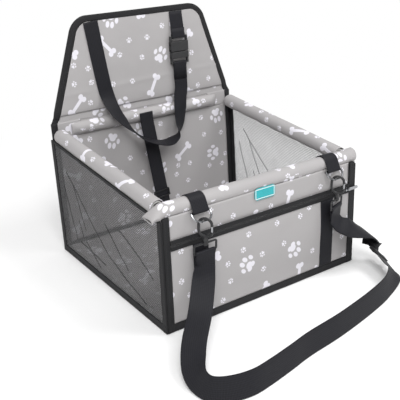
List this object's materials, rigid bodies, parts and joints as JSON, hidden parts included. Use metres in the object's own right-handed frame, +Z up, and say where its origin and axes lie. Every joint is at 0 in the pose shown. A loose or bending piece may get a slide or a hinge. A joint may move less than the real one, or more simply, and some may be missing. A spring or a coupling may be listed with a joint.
{
  "type": "dog car seat",
  "caption": "Soft printed fabric basket seat for a small dog, with net sides, tube stiffened rims, a zipped pocket, a folding head flap, snap hooks and a carry strap.",
  "frame": {"origin": "middle of the underside, on the surface the seat rests on", "axes": "+Z up, front faces -Y, +X to the right seen from the front"},
  "size_m": [0.5217, 0.6012, 0.4358],
  "materials": {
    "printed_fabric": "pale grey printed polyester cloth",
    "webbing": "black flat webbing",
    "binding": "black woven edge binding",
    "net": "black knitted net",
    "tube_plastic": "pale plastic tube",
    "board": "stiff plastic board",
    "lining": "padded grey lining",
    "black_plastic": "black moulded plastic",
    "plated_steel": "bright plated steel",
    "tag": "teal woven tag with a white border"
  },
  "bodies": {
    "basket": {"back_binding": "binding", "back_wall": "printed_fabric", "base_board": "board", "base_fabric": "printed_fabric", "carry_strap": "webbing", "floor_lining": "lining", "front_binding": "binding", "front_panel": "printed_fabric", "front_rim_sleeve": "printed_fabric", "label_tag": "tag", "left_rim_sleeve": "printed_fabric", "left_tube": "tube_plastic", "pocket_panel": "printed_fabric", "pocket_strap_left": "webbing", "pocket_strap_right": "webbing", "rear_band": "printed_fabric", "rear_tube": "tube_plastic", "right_rim_sleeve": "printed_fabric", "right_tube": "tube_plastic", "rim_loop_left": "webbing", "rim_loop_right": "webbing", "side_binding_left": "binding", "side_binding_right": "binding", "side_net_left": "net", "side_net_right": "net", "swivel_eye_left": "black_plastic", "swivel_eye_right": "black_plastic", "tether_hook": "black_plastic", "tether_strap": "webbing", "zip_tape_lower": "binding", "zip_tape_upper": "binding"},
    "headrest": {"headrest_binding": "binding", "headrest_board": "board", "headrest_front_cloth": "printed_fabric", "headrest_rear_cloth": "printed_fabric", "headrest_seam": "printed_fabric", "headrest_strap_loop": "webbing", "headrest_strap_upper": "webbing", "buckle_socket": "black_plastic"},
    "buckle_plug": {"buckle_plug": "black_plastic", "headrest_strap_tail": "webbing"},
    "prong_left": {"buckle_prong_left": "black_plastic"},
    "prong_right": {"buckle_prong_right": "black_plastic"},
    "front_tube": {"front_tube": "tube_plastic"},
    "zip_slider": {"zip_slider": "plated_steel"},
    "zip_puller": {"zip_puller": "plated_steel"},
    "d_ring_left": {"d_ring_left": "plated_steel"},
    "d_ring_right": {"d_ring_right": "plated_steel"},
    "hook_left": {"hook_body_left": "black_plastic"},
    "hook_right": {"hook_body_right": "black_plastic"},
    "gate_left": {"hook_gate_left": "plated_steel"},
    "gate_right": {"hook_gate_right": "plated_steel"},
    "carry_adjuster": {"carry_adjuster": "black_plastic"},
    "tether_adjuster": {"tether_adjuster": "black_plastic"},
    "tether_gate": {"tether_gate": "plated_steel"}
  },
  "joints": [
    {"name": "headrest_fold", "type": "hinge", "parent": "basket", "child": "headrest", "pos_m": [0, 0.20012, 0.25274], "axis": [1, 0, 0], "range_deg": [-95, 100], "deforming": ["headrest_strap_loop"]},
    {"name": "buckle_release", "type": "slide", "parent": "headrest", "child": "buckle_plug", "axis": [0, -0.0958, -0.9954], "range_m": [0, 0.025], "deforming": ["headrest_strap_loop"]},
    {"name": "prong_left_squeeze", "type": "hinge", "parent": "buckle_plug", "child": "prong_left", "pos_m": [0.0655, 0.19988, 0.3494], "axis": [0, 0.9954, -0.0958], "range_deg": [0, 16], "stiffness_Nm_per_rad": 0.002, "springref_deg": -5.73},
    {"name": "prong_right_squeeze", "type": "hinge", "parent": "buckle_plug", "child": "prong_right", "pos_m": [0.0945, 0.19988, 0.3494], "axis": [0, -0.9954, 0.0958], "range_deg": [0, 16], "stiffness_Nm_per_rad": 0.002, "springref_deg": -5.73},
    {"name": "front_tube_slide", "type": "slide", "parent": "basket", "child": "front_tube", "axis": [1, 0, 0], "range_m": [0, 0.38]},
    {"name": "zip_slide", "type": "slide", "parent": "basket", "child": "zip_slider", "axis": [-1, 0, 0], "range_m": [0, 0.37]},
    {"name": "puller_flip", "type": "hinge", "parent": "zip_slider", "child": "zip_puller", "pos_m": [0.18945, -0.17796, 0.15126], "axis": [0, -0.061, -0.9981], "range_deg": [0, 180]},
    {"name": "d_ring_left_swing", "type": "hinge", "parent": "basket", "child": "d_ring_left", "pos_m": [-0.139, -0.17351, 0.196], "axis": [1, 0, 0], "range_deg": [0, 8]},
    {"name": "hook_left_swivel", "type": "hinge", "parent": "basket", "child": "hook_left", "pos_m": [-0.139, -0.18699, 0.17773], "axis": [0, 0, 1], "range_deg": [-80, 0]},
    {"name": "hook_left_gate", "type": "hinge", "parent": "hook_left", "child": "gate_left", "pos_m": [-0.13219, -0.19511, 0.16683], "axis": [-0.766, -0.6428, 0], "range_deg": [0, 22], "stiffness_Nm_per_rad": 0.005, "springref_deg": -11.46},
    {"name": "d_ring_right_swing", "type": "hinge", "parent": "basket", "child": "d_ring_right", "pos_m": [0.15, -0.17351, 0.196], "axis": [1, 0, 0], "range_deg": [0, 8]},
    {"name": "hook_right_swivel", "type": "hinge", "parent": "basket", "child": "hook_right", "pos_m": [0.15, -0.18699, 0.17773], "axis": [0, 0, 1], "range_deg": [-80, 0]},
    {"name": "hook_right_gate", "type": "hinge", "parent": "hook_right", "child": "gate_right", "pos_m": [0.15681, -0.19511, 0.16683], "axis": [-0.766, -0.6428, 0], "range_deg": [0, 22], "stiffness_Nm_per_rad": 0.005, "springref_deg": -11.46},
    {"name": "carry_adjuster_slide", "type": "slide", "parent": "basket", "child": "carry_adjuster", "axis": [-0.349, -0.9306, -0.1105], "range_m": [0, 0.03]},
    {"name": "tether_adjuster_slide", "type": "slide", "parent": "basket", "child": "tether_adjuster", "axis": [-0.08, 0.2001, 0.9765], "range_m": [0, 0.06]},
    {"name": "tether_gate_press", "type": "hinge", "parent": "basket", "child": "tether_gate", "pos_m": [0.0156, -0.0021, 0.0153], "axis": [0, 0, -1], "range_deg": [0, 22], "stiffness_Nm_per_rad": 0.005, "springref_deg": -11.46}
  ]
}
